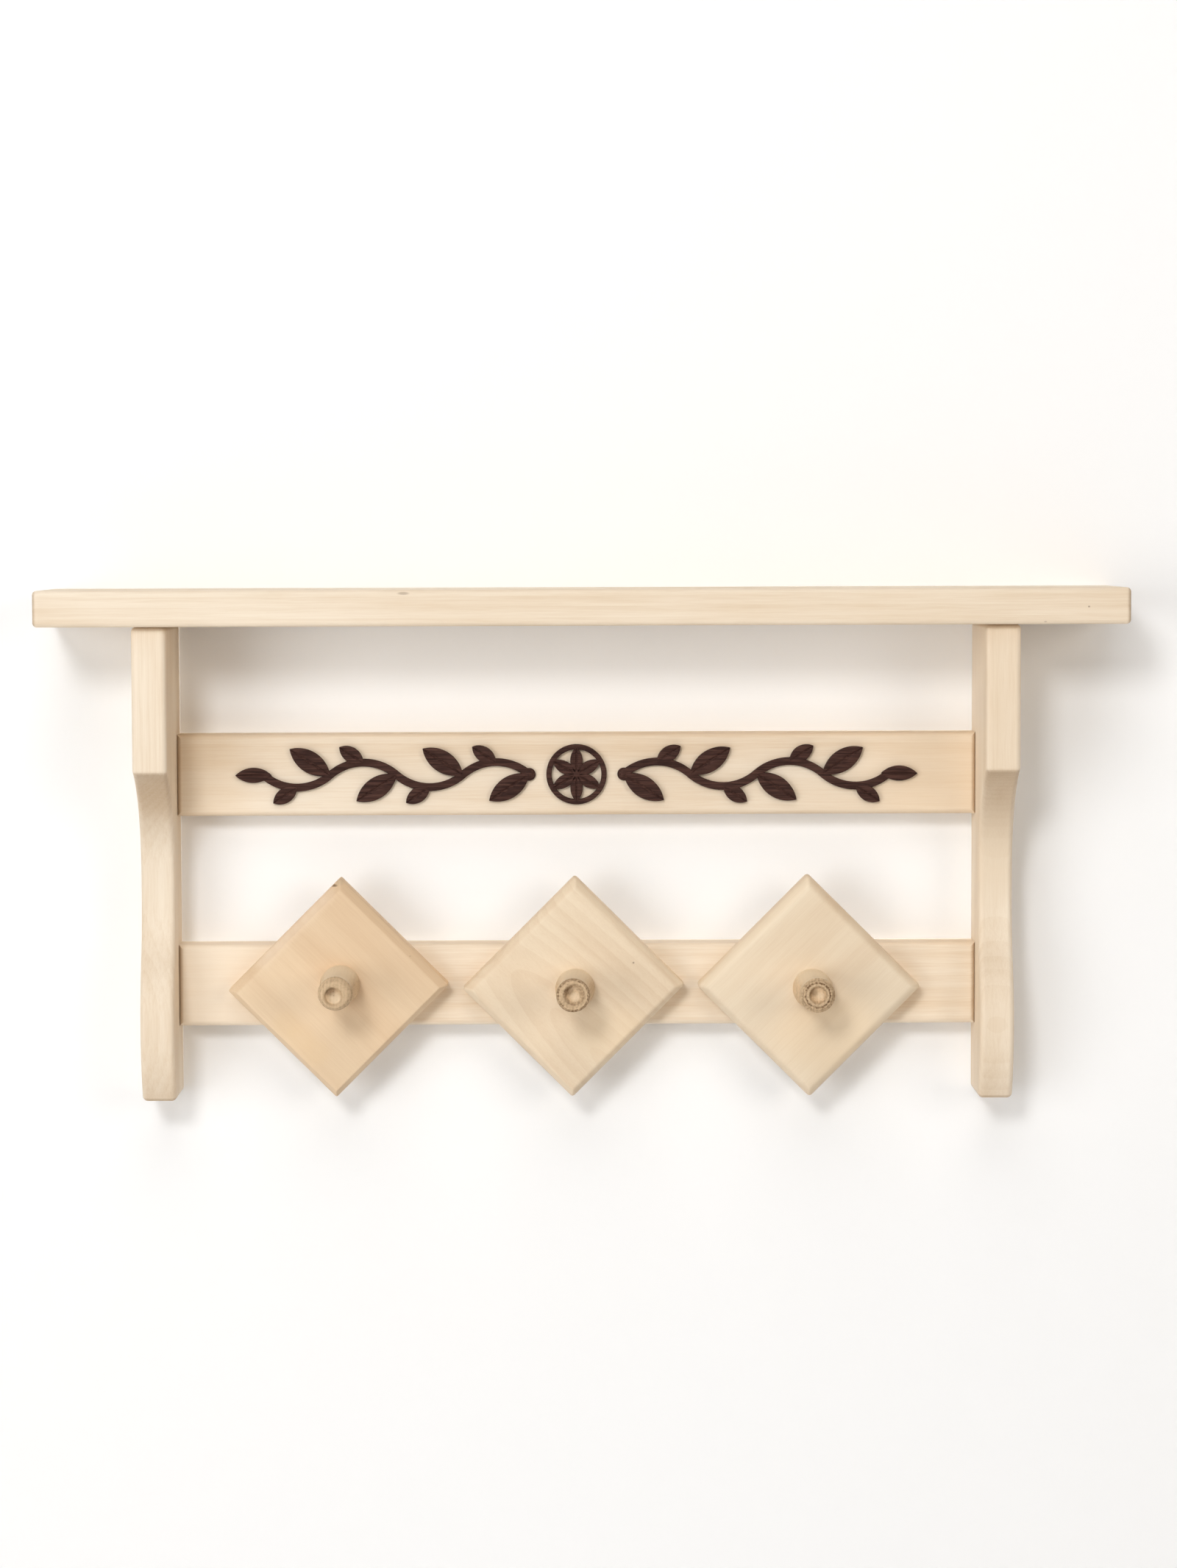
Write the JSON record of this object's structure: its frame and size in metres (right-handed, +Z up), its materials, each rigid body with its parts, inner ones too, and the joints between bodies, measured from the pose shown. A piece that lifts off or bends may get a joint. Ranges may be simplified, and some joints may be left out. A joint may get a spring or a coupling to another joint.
{
  "type": "wall shelf with pegs",
  "caption": "Pale wooden wall shelf: a top board on shaped brackets joined by rails, with turned coat pegs on square plates set on their corners and dark leaf fretwork.",
  "frame": {"origin": "on the wall plane, midway between the entry holes of the two keyhole hanger plates", "axes": "+X to the right along the wall seen from the room, +Y into the wall, +Z up"},
  "size_m": [0.6, 0.086, 0.287],
  "materials": {
    "board_wood": "planed, unvarnished pale wood",
    "plate_wood": "planed, unvarnished pale wood",
    "peg_wood": "turned, unvarnished wood with torn grain",
    "dowel_wood": "fluted hardwood dowel",
    "dark_wood": "oiled dark wood",
    "hanger_steel": "zinc-plated sheet steel",
    "screw_steel": "zinc-plated steel"
  },
  "bodies": {
    "root": {"shelf_board": "board_wood", "left_bracket": "board_wood", "right_bracket": "board_wood", "upper_rail": "board_wood", "lower_rail": "board_wood", "peg_plate_left": "plate_wood", "peg_plate_centre": "plate_wood", "peg_plate_right": "plate_wood", "peg_left": "peg_wood", "peg_centre": "peg_wood", "peg_right": "peg_wood", "shelf_dowels": "dowel_wood", "upper_rail_dowels": "dowel_wood", "lower_rail_dowels": "dowel_wood", "ornament_rosette": "dark_wood", "ornament_vine_left": "dark_wood", "ornament_vine_right": "dark_wood", "hanger_plate_left": "hanger_steel", "hanger_plate_right": "hanger_steel", "plate_screws": "screw_steel", "hanger_screws": "screw_steel"}
  },
  "joints": []
}
